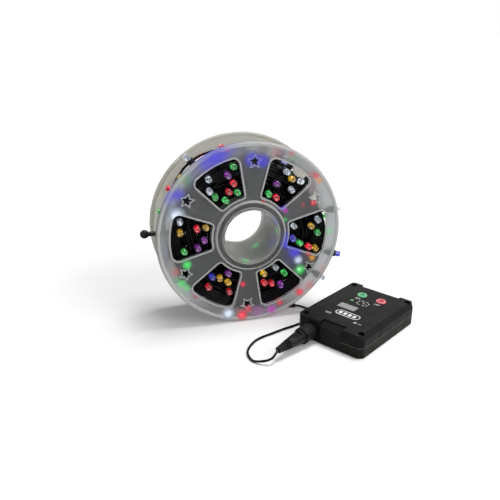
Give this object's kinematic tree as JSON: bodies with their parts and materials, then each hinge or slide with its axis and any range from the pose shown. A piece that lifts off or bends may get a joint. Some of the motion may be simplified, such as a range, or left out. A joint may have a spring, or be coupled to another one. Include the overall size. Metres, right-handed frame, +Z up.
{
  "type": "led string lights on a reel",
  "caption": "LED string lights wound on an open translucent reel, with a lead and screw plug to a flat battery box with push buttons.",
  "frame": {"origin": "middle of the reel's hub bore", "axes": "+Y along the hub bore, away from the side in the picture; +Z up, the reel standing on its rims and the box on its base"},
  "size_m": [0.2266, 0.135, 0.16],
  "materials": {
    "reel_plastic": "frosted translucent",
    "hub_plastic": "frosted translucent",
    "cable_sheath": "satin",
    "bulb_socket": "satin",
    "sleeve": "satin",
    "red_lens": "clear",
    "green_lens": "clear",
    "blue_lens": "clear",
    "yellow_lens": "clear",
    "white_lens": "clear",
    "purple_lens": "clear",
    "led_metal": "bright",
    "plug_plastic": "satin",
    "contact_brass": "bright",
    "seal_rubber": "matt",
    "case_plastic": "satin",
    "base_plastic": "satin",
    "steel": "plain",
    "cell_wrap": "gloss",
    "board": "lacquered",
    "chip": "matt",
    "indicator": "clear",
    "smoked_window": "smoked",
    "green_cap": "satin",
    "red_cap": "satin"
  },
  "bodies": {
    "reel_and_box": {"front_flange": "reel_plastic", "rear_flange": "reel_plastic", "hub_tube": "hub_plastic", "cable_core": "cable_sheath", "cable_winding": "cable_sheath", "lead_cable": "cable_sheath", "front_bulb_holders": "bulb_socket", "rim_bulb_holders": "bulb_socket", "rear_bulb_holders": "bulb_socket", "string_end_cap": "bulb_socket", "lead_sleeve": "sleeve", "red_lenses": "red_lens", "green_lenses": "green_lens", "blue_lenses": "blue_lens", "yellow_lenses": "yellow_lens", "white_lenses": "white_lens", "purple_lenses": "purple_lens", "front_led_frames": "led_metal", "rim_led_frames": "led_metal", "rear_led_frames": "led_metal", "strain_relief": "plug_plastic", "plug_body": "plug_plastic", "socket_barrel": "plug_plastic", "plug_contacts": "contact_brass", "socket_pins": "contact_brass", "sealing_ring": "seal_rubber", "case_gasket": "seal_rubber", "case_top": "case_plastic", "case_base": "base_plastic", "case_screws": "steel", "door_hinge_pin": "steel", "battery_springs": "steel", "battery_plates": "steel", "switch_domes": "steel", "battery_cells": "cell_wrap", "control_board": "board", "controller_chip": "chip", "indicator_lens": "indicator", "receiver_window": "smoked_window"},
    "nut_body": {"coupling_nut": "plug_plastic"},
    "door_body": {"battery_door": "base_plastic"},
    "green_push": {"green_button": "green_cap"},
    "red_push": {"red_button": "red_cap"}
  },
  "joints": [
    {"name": "coupling_nut_turn", "type": "hinge", "parent": "reel_and_box", "child": "nut_body", "pos_m": [0.03917, -0.07008, -0.071], "axis": [-0.8387, -0.5446, 0], "continuous": true},
    {"name": "battery_door_hinge", "type": "hinge", "parent": "reel_and_box", "child": "door_body", "pos_m": [0.09422, -0.0546, -0.0781], "axis": [0.5446, -0.8387, 0], "range_deg": [0, 95]},
    {"name": "green_button_press", "type": "slide", "parent": "reel_and_box", "child": "green_push", "axis": [0, 0, -1], "range_m": [0, 0.0008], "stiffness_N_per_m": 400},
    {"name": "red_button_press", "type": "slide", "parent": "reel_and_box", "child": "red_push", "axis": [0, 0, -1], "range_m": [0, 0.0008], "stiffness_N_per_m": 400}
  ]
}
